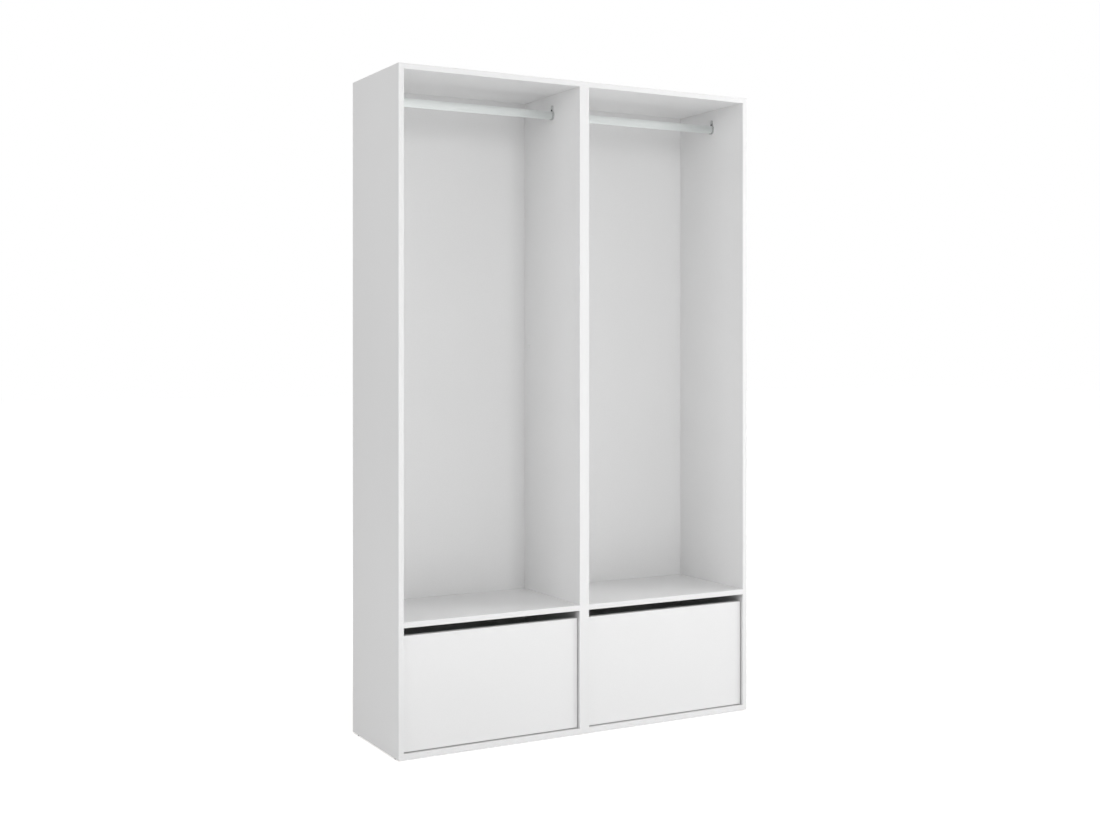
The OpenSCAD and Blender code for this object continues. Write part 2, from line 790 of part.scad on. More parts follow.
joining_sleeves();
joining_screws();
glides();
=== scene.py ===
"""Looks of the open wardrobe: coated boards, bands, rails, runners and the studio round them."""

import json
import logging
import math
from collections.abc import Callable
from dataclasses import dataclass, field
from enum import Enum

import bmesh
import bpy
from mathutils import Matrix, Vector


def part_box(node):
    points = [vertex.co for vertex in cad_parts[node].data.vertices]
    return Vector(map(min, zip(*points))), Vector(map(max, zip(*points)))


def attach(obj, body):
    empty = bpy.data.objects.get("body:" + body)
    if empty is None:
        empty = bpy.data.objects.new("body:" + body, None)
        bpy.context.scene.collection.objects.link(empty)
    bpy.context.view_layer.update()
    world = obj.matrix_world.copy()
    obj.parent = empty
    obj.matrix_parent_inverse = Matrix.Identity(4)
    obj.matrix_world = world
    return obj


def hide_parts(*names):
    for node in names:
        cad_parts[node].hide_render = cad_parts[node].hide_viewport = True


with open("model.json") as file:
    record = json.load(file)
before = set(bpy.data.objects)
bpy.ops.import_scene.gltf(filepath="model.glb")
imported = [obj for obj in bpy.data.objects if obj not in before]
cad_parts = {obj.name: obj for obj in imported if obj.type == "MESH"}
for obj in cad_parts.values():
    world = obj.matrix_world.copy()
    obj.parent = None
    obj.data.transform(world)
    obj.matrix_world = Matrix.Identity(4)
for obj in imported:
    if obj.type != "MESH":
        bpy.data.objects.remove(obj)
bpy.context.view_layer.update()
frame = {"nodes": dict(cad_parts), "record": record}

MM = 0.001

# Distances within which two points are one, and a point is on a plane.
MERGE = 2e-6
ON_PLANE = 2e-5
# Faces that meet at less than FLAT are one face, at more than CREASE they meet at a sharp edge.
FLAT = math.radians(0.4)
CREASE = math.radians(38)
# Rounds on the sharp edges of screws and nails.
SCREW_ROUND = 0.12 * MM

Colour = tuple[float, float, float]
Point = tuple[float, float, float]
Socket = bpy.types.NodeSocket
Stops = list[tuple[float, Colour]]

WHITE: Colour = (0.80, 0.80, 0.80)
CLEAR: Colour = (1.0, 1.0, 1.0)

logging.basicConfig(level=logging.INFO, format="%(name)s: %(message)s")
log = logging.getLogger("wardrobe")


class Side(Enum):
    """A side of a board, as the axis it faces along and its sign."""

    LEFT = (0, -1)
    RIGHT = (0, 1)
    FRONT = (1, -1)
    REAR = (1, 1)
    UNDER = (2, -1)
    UPPER = (2, 1)

    @property
    def axis(self) -> int:
        """The axis, 0 for X, 1 for Y and 2 for Z."""
        return self.value[0]

    @property
    def sign(self) -> int:
        """1 for a side that faces along its axis, -1 for one that faces against it."""
        return self.value[1]

    @property
    def normal(self) -> Vector:
        """The direction that the side faces."""
        return Vector([self.sign if k == self.axis else 0 for k in range(3)])

    def plane(self, low: Vector, high: Vector) -> float:
        """The side's place along its axis, for a board from low to high."""
        return (high if self.sign > 0 else low)[self.axis]

    def holds(self, edge: bmesh.types.BMEdge, low: Vector, high: Vector) -> bool:
        """Whether an edge lies in the side's plane, for a board from low to high."""
        return all(abs(v.co[self.axis] - self.plane(low, high)) < ON_PLANE for v in edge.verts)


def shade(colour: Colour, factor: float) -> Colour:
    """The colour times factor."""
    return tuple(min(1.0, part * factor) for part in colour)


def bevelled(mesh: bmesh.types.BMesh, edges: list[bmesh.types.BMEdge], width: float,
             steps: int) -> None:
    """Rounds edges of a mesh.

    Args:
        mesh: The mesh.
        edges: The edges that are rounded.
        width: The width of the round on each face.
        steps: The number of facets of the round.
    """
    bmesh.ops.bevel(mesh, geom=edges, offset=width, offset_type="OFFSET", segments=steps,
                    profile=0.5, affect="EDGES", clamp_overlap=True, material=-1)


class Surface:
    """One material in the making: a Principled shader and the nodes that feed it."""

    # Noise stays mostly between these values.
    NOISE_LOW = 0.3
    NOISE_HIGH = 0.7

    def __init__(self, name: str) -> None:
        """Starts the material.

        Args:
            name: The material's name.
        """
        self.material = bpy.data.materials.new(name)
        self.material.use_nodes = True
        self.nodes = self.material.node_tree.nodes
        self.links = self.material.node_tree.links
        self.nodes.clear()
        self.shader = self.nodes.new("ShaderNodeBsdfPrincipled")
        output = self.nodes.new("ShaderNodeOutputMaterial")
        self.links.new(self.shader.outputs["BSDF"], output.inputs["Surface"])
        self.place = self.nodes.new("ShaderNodeTexCoord").outputs["Object"]

    def constant(self, **values: float) -> None:
        """Sets shader sockets that are the same all over, named with _ for each space."""
        for name, value in values.items():
            self.shader.inputs[name.replace("_", " ")].default_value = value

    def stretched(self, scale: Point) -> Socket:
        """Object coordinates multiplied by scale.

        Args:
            scale: The factor along each axis.

        Returns:
            The coordinates.
        """
        mapping = self.nodes.new("ShaderNodeMapping")
        mapping.inputs["Scale"].default_value = scale
        self.links.new(self.place, mapping.inputs["Vector"])
        return mapping.outputs["Vector"]

    def noise(self, scale: float, detail: float = 2.0, at: Socket | None = None,
              wander: float = 0.0) -> Socket:
        """Adds a noise pattern.

        Args:
            scale: Features in one metre.
            detail: Octaves of finer noise.
            at: The coordinates, or None for the piece's own.
            wander: Distortion of the pattern.

        Returns:
            The pattern's value, about 0.5.
        """
        node = self.nodes.new("ShaderNodeTexNoise")
        node.inputs["Scale"].default_value = scale
        node.inputs["Detail"].default_value = detail
        node.inputs["Distortion"].default_value = wander
        self.links.new(at or self.place, node.inputs["Vector"])
        return node.outputs["Fac"]

    def chips(self, scale: float, at: Socket) -> tuple[Socket, Socket]:
        """Adds a pattern of chips.

        Args:
            scale: Chips in one metre.
            at: The coordinates.

        Returns:
            A colour that differs from chip to chip, and the distance from a chip's middle.
        """
        node = self.nodes.new("ShaderNodeTexVoronoi")
        node.inputs["Scale"].default_value = scale
        self.links.new(at, node.inputs["Vector"])
        return node.outputs["Color"], node.outputs["Distance"]

    def ramp(self, value: Socket, stops: Stops) -> Socket:
        """A colour that runs through the stops as the value goes from 0 to 1.

        Args:
            value: The value.
            stops: Pairs of a value and its colour, from low to high.

        Returns:
            The colour.
        """
        node = self.nodes.new("ShaderNodeValToRGB")
        ramp = node.color_ramp
        while len(ramp.elements) < len(stops):
            ramp.elements.new(0.5)
        for element, (place, colour) in zip(ramp.elements, stops):
            element.position = place
            element.color = (*colour, 1.0)
        self.links.new(value, node.inputs["Fac"])
        return node.outputs["Color"]

    def roughness(self, value: Socket, middle: float, less: float, more: float) -> None:
        """Lets a noise pattern vary the roughness.

        Args:
            value: The pattern.
            middle: The roughness about which it varies.
            less: How far it goes below.
            more: How far it goes above.
        """
        node = self.nodes.new("ShaderNodeMapRange")
        for name, number in (("From Min", self.NOISE_LOW), ("From Max", self.NOISE_HIGH),
                             ("To Min", middle - less), ("To Max", middle + more)):
            node.inputs[name].default_value = number
        self.links.new(value, node.inputs["Value"])
        self.feed("Roughness", node.outputs["Result"])

    def times(self, first: Socket, second: Socket) -> Socket:
        """Multiplies two colours.

        Args:
            first: One colour.
            second: The other colour.

        Returns:
            Their product.
        """
        node = self.nodes.new("ShaderNodeMix")
        node.data_type = "RGBA"
        node.blend_type = "MULTIPLY"
        node.inputs["Factor"].default_value = 1.0
        self.links.new(first, node.inputs["A"])
        self.links.new(second, node.inputs["B"])
        return node.outputs["Result"]

    def round_x(self) -> Socket:
        """The direction round the X axis along a turned surface."""
        node = self.nodes.new("ShaderNodeVectorMath")
        shape = self.nodes.new("ShaderNodeNewGeometry")
        node.operation = "CROSS_PRODUCT"
        node.inputs[1].default_value = Side.RIGHT.normal
        self.links.new(shape.outputs["True Normal"], node.inputs[0])
        return node.outputs[0]

    def feed(self, name: str, value: Socket) -> None:
        """Links a value to one of the shader's sockets."""
        self.links.new(value, self.shader.inputs[name])

    def bumps(self, *layers: tuple[Socket, float]) -> None:
        """Raises the surface.

        Args:
            layers: Pairs of a pattern and its depth in metres, at least one.
        """
        last = None
        for height, depth in layers:
            node = self.nodes.new("ShaderNodeBump")
            node.inputs["Strength"].default_value = 1.0
            node.inputs["Distance"].default_value = depth
            self.links.new(height, node.inputs["Height"])
            if last is not None:
                self.links.new(last, node.inputs["Normal"])
            last = node.outputs["Normal"]
        self.feed("Normal", last)


@dataclass(frozen=True)
class Facing:
    """A pale coated sheet, pebbled finely, such as melamine, paint or powder coat."""

    name: str
    colour: Colour
    roughness: float
    pebble: float = 1100.0
    pebble_depth: float = 0.02 * MM
    wave: float = 45.0
    wave_depth: float = 0.03 * MM
    mottle: float = 0.985
    cloud_scale: float = 2.6
    speck_share: float = 0.55
    speck_tone: Colour = (0.982, 0.982, 0.984)
    sheen_scale: float = 160.0
    sheen_range: float = 0.05

    def material(self) -> bpy.types.Material:
        """Builds the finish."""
        skin = Surface(self.name)
        cloud = skin.noise(self.cloud_scale, 4.0)
        speck = skin.noise(self.pebble * self.speck_share)
        tone = skin.ramp(cloud, [(0.3, shade(self.colour, self.mottle)), (0.7, self.colour)])
        fleck = skin.ramp(speck, [(0.3, self.speck_tone), (0.62, CLEAR)])
        skin.feed("Base Color", skin.times(tone, fleck))
        skin.roughness(skin.noise(self.sheen_scale, 3.0), self.roughness, self.sheen_range,
                       self.sheen_range)
        skin.bumps((skin.noise(self.wave), self.wave_depth),
                   (skin.noise(self.pebble), self.pebble_depth))
        return skin.material


@dataclass(frozen=True)
class ChipCore:
    """Raw pressed chips, as a board shows them in a bore, a groove or an edge with no band."""

    name: str = "board_core"
    pale: Colour = (0.50, 0.36, 0.22)
    dark: Colour = (0.24, 0.15, 0.08)
    bright: float = 1.25
    grime: Colour = (0.7, 0.68, 0.66)
    chip_scale: float = 420.0
    chip_squash: Point = (1.0, 0.45, 0.45)
    chip_depth: float = 0.25 * MM
    fibre_scale: float = 900.0
    fibre_depth: float = 0.1 * MM

    def material(self) -> bpy.types.Material:
        """Builds the finish."""
        skin = Surface(self.name)
        chip, edge = skin.chips(self.chip_scale, skin.stretched(self.chip_squash))
        fibre = skin.noise(self.fibre_scale, 4.0)
        tone = skin.ramp(chip, [(0.15, self.dark), (0.5, self.pale),
                                (0.9, shade(self.pale, self.bright))])
        grime = skin.ramp(fibre, [(0.3, self.grime), (0.65, CLEAR)])
        skin.feed("Base Color", skin.times(tone, grime))
        skin.constant(Roughness=0.85)
        skin.bumps((edge, self.chip_depth), (fibre, self.fibre_depth))
        return skin.material


@dataclass(frozen=True)
class RawFibre:
    """The unpainted face of thin fibreboard."""

    name: str = "back_board_raw"
    colour: Colour = (0.40, 0.275, 0.165)
    cloud_scale: float = 5.0
    hair_scale: float = 520.0
    hair_tone: Colour = (0.78, 0.76, 0.74)
    hair_depth: float = 0.05 * MM
    wave_scale: float = 30.0
    wave_depth: float = 0.08 * MM

    def material(self) -> bpy.types.Material:
        """Builds the finish."""
        skin = Surface(self.name)
        cloud = skin.ramp(skin.noise(self.cloud_scale, 5.0),
                          [(0.3, shade(self.colour, 0.88)), (0.7, shade(self.colour, 1.08))])
        hair = skin.noise(self.hair_scale, 5.0, wander=0.8)
        strand = skin.ramp(hair, [(0.32, self.hair_tone), (0.6, CLEAR)])
        skin.feed("Base Color", skin.times(cloud, strand))
        skin.roughness(hair, 0.71, 0.09, 0.09)
        skin.bumps((skin.noise(self.wave_scale), self.wave_depth), (hair, self.hair_depth))
        return skin.material


@dataclass(frozen=True)
class DrawnMetal:
    """Metal with fine lines along one axis, or cast metal where the lines are even all ways."""

    name: str
    colour: Colour
    roughness: float
    along: Point = (1.0, 1.0, 1.0)
    lines: float = 600.0
    depth: float = 0.01 * MM
    tint: Colour = CLEAR
    metallic: float = 1.0
    streak: float = 0.0
    cloud_scale: float = 40.0
    line_tone: float = 0.93

    def material(self) -> bpy.types.Material:
        """Builds the finish. Where it streaks, reflections spread round the X axis."""
        skin = Surface(self.name)
        line = skin.noise(self.lines, 3.0, skin.stretched(self.along))
        cloud = skin.ramp(skin.noise(self.cloud_scale, 3.0), [(0.3, self.tint), (0.7, CLEAR)])
        tone = skin.ramp(line, [(0.25, shade(self.colour, self.line_tone)), (0.7, self.colour)])
        skin.feed("Base Color", skin.times(tone, cloud))
        skin.roughness(line, self.roughness, 0.05, 0.07)
        skin.constant(Metallic=self.metallic, Anisotropic=self.streak)
        if self.streak:
            skin.feed("Tangent", skin.round_x())
        skin.bumps((line, self.depth))
        return skin.material


@dataclass(frozen=True)
class Moulded:
    """Moulded plastic with a faint spark texture."""

    name: str
    colour: Colour
    roughness: float
    grain: float = 1500.0
    depth: float = 0.02 * MM
    cloud_scale: float = 120.0
    cloud_tone: float = 0.95

    def material(self) -> bpy.types.Material:
        """Builds the finish."""
        skin = Surface(self.name)
        grain = skin.noise(self.grain)
        cloud = skin.noise(self.cloud_scale, 3.0)
        skin.feed("Base Color", skin.ramp(cloud, [(0.3, shade(self.colour, self.cloud_tone)),
                                                  (0.7, self.colour)]))
        skin.roughness(cloud, self.roughness, 0.05, 0.06)
        skin.bumps((grain, self.depth))
        return skin.material


@dataclass(frozen=True)
class Beech:
    """Raw beech with its grain along X."""

    name: str = "beech"
    colour: Colour = (0.62, 0.42, 0.23)
    grain_scale: float = 700.0
    grain_stretch: Point = (0.06, 1.0, 1.0)
    grain_depth: float = 0.15 * MM
    fleck_scale: float = 1500.0
    fleck_stretch: Point = (0.3, 1.0, 1.0)
    fleck_tone: Colour = (0.72, 0.66, 0.6)

    def material(self) -> bpy.types.Material:
        """Builds the finish."""
        skin = Surface(self.name)
        grain = skin.noise(self.grain_scale, 4.0, skin.stretched(self.grain_stretch))
        fleck = skin.noise(self.fleck_scale, 2.0, skin.stretched(self.fleck_stretch))
        tone = skin.ramp(grain, [(0.3, shade(self.colour, 0.78)), (0.7, shade(self.colour, 1.12))])
        spot = skin.ramp(fleck, [(0.35, self.fleck_tone), (0.5, CLEAR)])
        skin.feed("Base Color", skin.times(tone, spot))
        skin.constant(Roughness=0.7)
        skin.bumps((grain, self.grain_depth))
        return skin.material


class Finishes:
    """All the finishes of the wardrobe, built once."""

    def __init__(self) -> None:
        """Builds each finish's material."""
        self.facing = Facing("coated_board_facing", WHITE, 0.42).material()
        self.band = Facing("coated_board_band", shade(WHITE, 0.985), 0.34, pebble=700.0,
                           pebble_depth=0.01 * MM, wave=90.0, mottle=0.993).material()
        self.core = ChipCore().material()
        self.back_paint = Facing("back_board_paint", shade(WHITE, 0.985), 0.5, pebble=420.0,
                                 pebble_depth=0.025 * MM, wave=9.0,
                                 wave_depth=0.25 * MM).material()
        self.back_raw = RawFibre().material()
        self.rail = DrawnMetal("rail_tube", (0.845, 0.874, 0.865), 0.55, along=(0.003, 1.0, 1.0),
                               lines=3200.0, depth=0.022 * MM, metallic=0.7, streak=1.0).material()
        self.support = DrawnMetal("rail_support_metal", (0.62, 0.63, 0.63), 0.42, lines=650.0,
                                  depth=0.03 * MM).material()
        # Near-black metal that is painted shade: on the cups' rims and the lower rail screws it
        # stands in for the shadowed gap round and above the rail.
        self.painted_shade_steel = DrawnMetal("painted_shade_steel", (0.075, 0.075, 0.08), 0.42,
                                     lines=1400.0).material()
        self.runner = Facing("runner_coat", (0.83, 0.83, 0.82), 0.38, pebble=900.0,
                             pebble_depth=0.05 * MM, wave=260.0, wave_depth=0.04 * MM).material()
        self.zinc = DrawnMetal("zinc_steel", (0.68, 0.69, 0.71), 0.30, lines=1400.0,
                               tint=(0.97, 0.94, 0.82)).material()
        self.cast = DrawnMetal("zinc_cast", (0.56, 0.57, 0.58), 0.45, lines=500.0,
                               depth=0.05 * MM).material()
        self.nylon = Moulded("nylon", (0.82, 0.82, 0.77), 0.42).material()
        self.white_plastic = Moulded("white_plastic", WHITE, 0.38).material()
        self.glide = Moulded("glide_plastic", (0.018, 0.018, 0.018), 0.5).material()
        self.beech = Beech().material()


class Workshop:
    """Turns meshes into pieces that ride on the bodies of the frame."""

    def __init__(self) -> None:
        """Reads which body and finish slot each CAD node has."""
        record = frame["record"]
        self.bodies = {node: body for body, nodes in record["behaviour"]["bodies"].items()
                       for node in nodes}
        self.slots = {row["node"]: row["material_slot"] for row in record["subparts"]}

    def merged_copy(self, node: str) -> bmesh.types.BMesh:
        """Copies a CAD node's mesh, its doubles merged and its flat faces joined.

        Args:
            node: The CAD node.

        Returns:
            The new mesh.
        """
        mesh = bmesh.new()
        mesh.from_mesh(frame["nodes"][node].data)
        bmesh.ops.remove_doubles(mesh, verts=mesh.verts, dist=MERGE)
        bmesh.ops.dissolve_limit(mesh, angle_limit=FLAT, verts=mesh.verts, edges=mesh.edges,
                                 use_dissolve_boundaries=False)
        mesh.normal_update()
        return mesh

    def sharp_edges(self, mesh: bmesh.types.BMesh) -> list[bmesh.types.BMEdge]:
        """The edges of a mesh where two faces meet sharply."""
        return [edge for edge in mesh.edges
                if len(edge.link_faces) == 2 and edge.calc_face_angle() > CREASE]

    def crease(self, mesh: bmesh.types.BMesh) -> None:
        """Shades the mesh smooth between its sharp edges.

        Args:
            mesh: The mesh.
        """
        mesh.normal_update()
        for face in mesh.faces:
            face.smooth = True
        for edge in mesh.edges:
            edge.smooth = len(edge.link_faces) == 2 and edge.calc_face_angle() < CREASE

    def piece(self, name: str, mesh: bmesh.types.BMesh, node: str,
              materials: list[bpy.types.Material]) -> bpy.types.Object:
        """Makes a piece that stands for a CAD node.

        Args:
            name: The piece's name.
            mesh: Its mesh, in the frame's place. It is used up.
            node: The CAD node that it stands for.
            materials: The materials, in the order of the faces' numbers.

        Returns:
            The new object.
        """
        self.crease(mesh)
        data = bpy.data.meshes.new(name)
        mesh.to_mesh(data)
        mesh.free()
        for material in materials:
            data.materials.append(material)
        obj = bpy.data.objects.new(name, data)
        bpy.context.scene.collection.objects.link(obj)
        normals = obj.modifiers.new("even_shading", "WEIGHTED_NORMAL")
        normals.keep_sharp = True
        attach(obj, self.bodies[node])
        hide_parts(node)
        log.info("%s: %d faces, rides on %s", name, len(data.polygons), self.bodies[node])
        return obj

    def softened(self, node: str, name: str, width: float,
                 material: bpy.types.Material) -> bpy.types.Object:
        """Makes a piece with a CAD node's shape and small rounds on its sharp edges.

        Args:
            node: The CAD node.
            name: The piece's name.
            width: The width of the rounds.
            material: The finish.

        Returns:
            The new object.
        """
        mesh = self.merged_copy(node)
        bevelled(mesh, self.sharp_edges(mesh), width, 2)
        return self.piece(name, mesh, node, [material])

    def two_tone(self, node: str, width: float, main: bpy.types.Material,
                 other: bpy.types.Material, chosen: Callable[[Vector], bool]) -> bpy.types.Object:
        """Makes a softened piece with a second finish on some of its faces.

        Args:
            node: The CAD node. The piece has its name with _set behind it.
            width: The width of the rounds.
            main: The finish of most faces.
            other: The second finish.
            chosen: Says whether the face about a middle point gets the second finish.

        Returns:
            The new object.
        """
        obj = self.softened(node, f"{node}_set", width, main)
        obj.data.materials.append(other)
        for face in obj.data.polygons:
            face.material_index = int(chosen(face.center))
        return obj

    def dress(self, node: str, material: bpy.types.Material) -> None:
        """Gives a CAD node that is shown as it is its finish.

        Args:
            node: The CAD node.
            material: The finish.
        """
        obj = frame["nodes"][node]
        obj.data.materials.clear()
        obj.data.materials.append(material)
        log.info("%s: shown as it is, rides on %s", node, self.bodies[node])


@dataclass
class Board:
    """A board with two coated faces, bands on some of its edges and raw chips on the rest."""

    node: str
    faces: tuple[Side, Side]
    bands: list[Side]
    band_t: float = 0.8 * MM
    round_r: float = 0.6 * MM
    round_steps: int = 3
    # A face belongs to a side if it is no further from its plane than the round, times reach,
    # and if the cosine between their normals is more than facing.
    reach: float = 1.01
    facing: float = 0.2

    FACING = 0
    BAND = 1
    CORE = 2

    def build(self, shop: Workshop, finishes: Finishes) -> bpy.types.Object:
        """Builds the board from its CAD node, with bands cut in and rounded.

        Args:
            shop: The workshop that makes the piece.
            finishes: The finishes.

        Returns:
            The piece.
        """
        low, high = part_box(self.node)
        mesh = shop.merged_copy(self.node)
        for side in self.bands:
            self.cut_band(mesh, side, low, high)
        bevelled(mesh, self.rounded_edges(mesh, low, high), self.round_r, self.round_steps)
        mesh.normal_update()
        for face in mesh.faces:
            face.material_index = self.material_of(face, low, high)
        return shop.piece(f"{self.node}_board", mesh, self.node,
                          [finishes.facing, finishes.band, finishes.core])

    def cut_band(self, mesh: bmesh.types.BMesh, side: Side, low: Vector, high: Vector) -> None:
        """Cuts the line where a band meets the board's faces.

        Args:
            mesh: The board's mesh.
            side: The side that the band is on.
            low: The board's lowest corner.
            high: The board's highest corner.
        """
        point = Vector(low)
        point[side.axis] = side.plane(low, high) - side.sign * self.band_t
        bmesh.ops.bisect_plane(mesh, geom=mesh.verts[:] + mesh.edges[:] + mesh.faces[:],
                               dist=MERGE, plane_co=point, plane_no=side.normal)

    def rounded_edges(self, mesh: bmesh.types.BMesh, low: Vector,
                      high: Vector) -> list[bmesh.types.BMEdge]:
        """Finds the outer edges along the bands.

        Args:
            mesh: The board's mesh.
            low: The board's lowest corner.
            high: The board's highest corner.

        Returns:
            The edges where a band meets a coated face or another band.
        """
        found = []
        for edge in mesh.edges:
            on = [side for side in Side if side.holds(edge, low, high)]
            if len(on) == 2 and any(s in self.bands for s in on) \
                    and all(s in self.bands or s in self.faces for s in on):
                found.append(edge)
        return found

    def material_of(self, face: bmesh.types.BMFace, low: Vector, high: Vector) -> int:
        """Chooses the material of a face.

        Args:
            face: A face of the board.
            low: The board's lowest corner.
            high: The board's highest corner.

        Returns:
            FACING, BAND or CORE.
        """
        middle = face.calc_center_median()
        depth = {side: abs(middle[side.axis] - side.plane(low, high)) for side in Side}
        outer = [side for side in Side if depth[side] < self.round_r * self.reach
                 and face.normal.dot(side.normal) > self.facing]
        if not outer:
            return self.CORE
        if any(depth[side] < self.band_t for side in self.bands):
            return self.BAND
        return self.FACING if any(side in self.faces for side in outer) else self.CORE


@dataclass
class ThinBoard:
    """A thin fibreboard, painted on one face and raw on the other."""

    node: str
    painted: Side
    round_r: float = 0.3 * MM

    PAINT = 0
    RAW = 1

    def build(self, shop: Workshop, finishes: Finishes) -> bpy.types.Object:
        """Builds the board from its CAD node, its paint on one face only.

        Args:
            shop: The workshop that makes the piece.
            finishes: The finishes.

        Returns:
            The piece.
        """
        low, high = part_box(self.node)
        mesh = shop.merged_copy(self.node)
        for face in mesh.faces:
            is_painted = face.normal.dot(self.painted.normal) > 0.5
            face.material_index = self.PAINT if is_painted else self.RAW
        rim = [edge for edge in mesh.edges if self.on_rim(edge, low, high)]
        bevelled(mesh, rim, self.round_r, 1)
        return shop.piece(f"{self.node}_sheet", mesh, self.node,
                          [finishes.back_paint, finishes.back_raw])

    def on_rim(self, edge: bmesh.types.BMEdge, low: Vector, high: Vector) -> bool:
        """Whether an edge runs round one of the sheet's two faces."""
        on = [side for side in Side if side.holds(edge, low, high)]
        return len(on) == 2 and any(side.axis == self.painted.axis for side in on)


@dataclass
class Lathe:
    """Shapes turned about an axis along X, from a closed outline of (x, radius) points."""

    outline: list[tuple[float, float]]
    steps: int = 96

    def turn(self, mesh: bmesh.types.BMesh, start: Vector, flip: bool = False) -> None:
        """Adds one turned shape to the mesh.

        Args:
            mesh: The mesh that it is added to.
            start: Where the outline's x = 0 lies on the axis.
            flip: Whether the outline's x runs towards -X.
        """
        way = -1 if flip else 1
        verts = [mesh.verts.new((start.x + way * x, start.y, start.z + r)) for x, r in self.outline]
        edges = [mesh.edges.new((a, b)) for a, b in zip(verts, verts[1:] + verts[:1])]
        before = set(mesh.faces)
        bmesh.ops.spin(mesh, geom=verts + edges, cent=start, axis=(1, 0, 0), dvec=(0, 0, 0),
                       angle=math.tau, steps=self.steps, use_merge=True)
        made = [face for face in mesh.faces if face not in before]
        bmesh.ops.recalc_face_normals(mesh, faces=made)


@dataclass
class Rail:
    """A hanging rail: a round tube, open and slightly rounded at its ends.

    The edge is the width of the rounds, and the bend is where their middle point lies in it.
    """

    node: str
    wall: float = 1.2 * MM
    edge: float = 0.25 * MM
    bend: float = 0.3

    def build(self, shop: Workshop, finishes: Finishes) -> bpy.types.Object:
        """Builds the tube where its CAD node is.

        Args:
            shop: The workshop that makes the piece.
            finishes: The finishes.

        Returns:
            The piece.
        """
        low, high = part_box(self.node)
        length, r = high.x - low.x, (high.z - low.z) / 2
        bore, edge, bend = r - self.wall, self.edge, self.edge * self.bend
        outline = [(0, bore + edge), (0, r - edge), (bend, r - bend), (edge, r),
                   (length - edge, r), (length - bend, r - bend), (length, r - edge),
                   (length, bore + edge), (length - edge, bore), (edge, bore)]
        mesh = bmesh.new()
        Lathe(outline).turn(mesh, Vector((low.x, (low.y + high.y) / 2, (low.z + high.z) / 2)))
        return shop.piece(f"{self.node}_tube", mesh, self.node, [finishes.rail])


@dataclass
class Rollers:
    """The two nylon rollers of a pair of runners, with a hub, a dished web and rounded rims.

    The hub, web, rim, shoulder and corner are radii as shares of the roller's own.
    """

    node: str
    width: float = 6.5 * MM
    bore: float = 2.05 * MM
    hub: float = 0.42
    web: float = 0.5
    rim: float = 0.8
    shoulder: float = 0.9
    corner: float = 0.955
    dish: float = 0.7 * MM
    steps: int = 64

    def half_outline(self, r: float) -> list[tuple[float, float]]:
        """The outline of one face of a roller of radius r, from its bore to its tread."""
        rim = self.rim * r
        return [(0, self.bore), (0, self.hub * r), (self.dish, self.web * r),
                (self.dish, rim - 0.3 * MM), (0.1 * MM, rim + 0.4 * MM), (0, self.shoulder * r),
                (0.25 * MM, self.corner * r), (0.8 * MM, r)]

    def build(self, shop: Workshop, finishes: Finishes) -> bpy.types.Object:
        """Builds both rollers where their CAD node is.

        Args:
            shop: The workshop that makes the piece.
            finishes: The finishes.

        Returns:
            The piece.
        """
        low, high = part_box(self.node)
        half = self.half_outline((high.z - low.z) / 2)
        wheel = Lathe(half + [(self.width - x, r) for x, r in reversed(half)], self.steps)
        mesh = bmesh.new()
        y, z = (low.y + high.y) / 2, (low.z + high.z) / 2
        wheel.turn(mesh, Vector((low.x, y, z)))
        wheel.turn(mesh, Vector((high.x, y, z)), flip=True)
        return shop.piece(f"{self.node}_turned", mesh, self.node, [finishes.nylon])


@dataclass
class Runners:
    """The left and right pressed steel runners of one bay or drawer, and their rollers."""

    owner: str
    round_r: float = 0.25 * MM

    def build_one(self, hand: str, shop: Workshop, finishes: Finishes) -> bpy.types.Object:
        """Builds the left or the right runner and returns it."""
        node = f"{self.owner}_runner_{hand}"
        return shop.softened(node, f"{node}_steel", self.round_r, finishes.runner)

    def build_rollers(self, shop: Workshop, finishes: Finishes) -> bpy.types.Object:
        """Builds the two rollers and returns them."""
        return Rollers(f"{self.owner}_rollers").build(shop, finishes)


@dataclass
class Bay:
    """One carcass: its boards, back, rail and fixed runners."""

    name: str
    left_side: str
    right_side: str
    ends: tuple[Side, Side] = (Side.LEFT, Side.RIGHT)
    levels: tuple[Side, Side] = (Side.UNDER, Side.UPPER)

    def build(self, shop: Workshop, finishes: Finishes) -> None:
        """Builds the bay's pieces.

        Args:
            shop: The workshop that makes the pieces.
            finishes: The finishes.
        """
        for side in (self.left_side, self.right_side):
            Board(f"{self.name}_{side}", self.ends, [Side.FRONT, Side.UPPER]).build(shop, finishes)
        for level in ("top", "shelf", "bottom"):
            Board(f"{self.name}_{level}", self.levels, [Side.FRONT]).build(shop, finishes)
        ThinBoard(f"{self.name}_back", Side.FRONT).build(shop, finishes)
        Rail(f"{self.name}_rail").build(shop, finishes)
        runners = Runners(self.name)
        for hand in ("left", "right"):
            runners.build_one(hand, shop, finishes)
        runners.build_rollers(shop, finishes)


